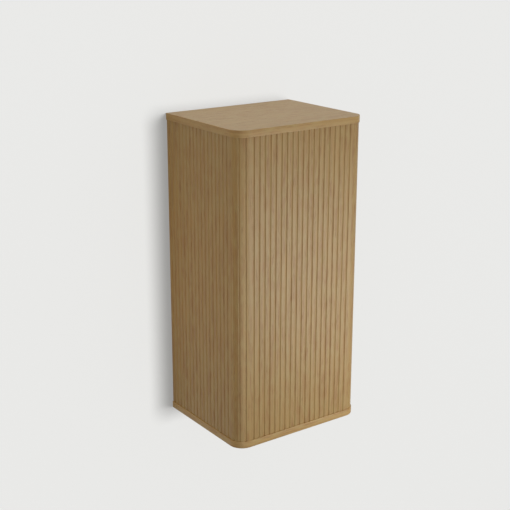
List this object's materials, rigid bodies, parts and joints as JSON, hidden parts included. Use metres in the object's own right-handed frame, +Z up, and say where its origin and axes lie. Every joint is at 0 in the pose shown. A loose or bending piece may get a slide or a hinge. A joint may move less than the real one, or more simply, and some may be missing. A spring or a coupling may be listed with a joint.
{
  "type": "display plinth",
  "caption": "Tall fluted oak box with round front corners between two flat plates, hung on the wall by a bevelled cleat, to carry a display piece on top.",
  "frame": {"origin": "centre of the wall cleat's four screw holes, on the wall's surface", "axes": "+Z up; +Y into the wall, so the fluted front faces -Y; +X to the right as seen from the front"},
  "size_m": [0.384, 0.312, 0.8],
  "materials": {
    "oak_veneer": "matt lacquered oak veneer",
    "oak_lipping": "matt lacquered solid oak",
    "plywood": "sanded birch plywood, unfinished",
    "beech": "plain beech, unfinished",
    "zinc_steel": "bright zinc plated",
    "rubber": "matt"
  },
  "bodies": {
    "wall_mount": {"wall_cleat": "plywood"},
    "plinth": {"top_plate": "oak_veneer", "top_lipping": "oak_lipping", "bottom_plate": "oak_veneer", "bottom_lipping": "oak_lipping", "front_fluted_panel": "oak_veneer", "left_fluted_panel": "oak_veneer", "right_fluted_panel": "oak_veneer", "left_corner_staff": "oak_veneer", "right_corner_staff": "oak_veneer", "carcass_left_side": "plywood", "carcass_right_side": "plywood", "carcass_front": "plywood", "left_corner_post": "beech", "right_corner_post": "beech", "upper_rib": "plywood", "middle_rib": "plywood", "lower_rib": "plywood", "hanging_rail": "plywood", "back_panel": "plywood", "plinth_cleat": "plywood", "wall_spacer": "plywood", "wall_bumpers": "rubber", "top_dowels": "beech", "bottom_dowels": "beech", "carcass_dowels": "beech", "top_plate_screws": "zinc_steel", "bottom_plate_screws": "zinc_steel", "back_panel_screws": "zinc_steel", "cleat_screws": "zinc_steel", "spacer_screws": "zinc_steel"}
  },
  "joints": [
    {"name": "lift_off", "type": "slide", "parent": "wall_mount", "child": "plinth", "axis": [0, 0, 1], "range_m": [0, 0.025]}
  ]
}
